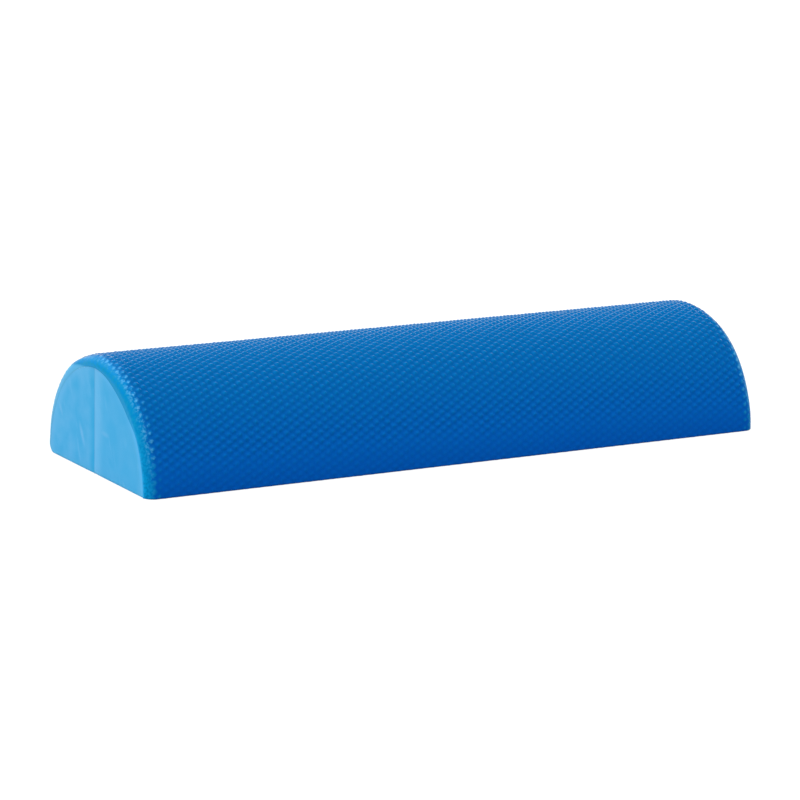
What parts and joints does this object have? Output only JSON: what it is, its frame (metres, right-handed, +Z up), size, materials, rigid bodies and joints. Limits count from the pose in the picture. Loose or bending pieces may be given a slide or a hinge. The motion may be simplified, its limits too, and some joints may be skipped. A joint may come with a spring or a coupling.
{
  "type": "half round foam roller",
  "caption": "Half round exercise roller of closed-cell foam: a two-block core bonded along an upright line, under a bumpy wrapped skin with rounded ends, flat base.",
  "frame": {"origin": "centre of the flat base, on the surface that the roller lies on", "axes": "+X along the roller, away from the end that the picture shows; +Z up, from the flat base to the crown; -Y towards the long side that the picture shows"},
  "size_m": [0.45, 0.15, 0.075],
  "materials": {
    "core_foam": "matte",
    "bond_film": "matte",
    "skin_foam": "matte"
  },
  "bodies": {
    "root": {"front_core": "core_foam", "rear_core": "core_foam", "core_bond_line": "bond_film", "textured_skin": "skin_foam"}
  },
  "joints": []
}
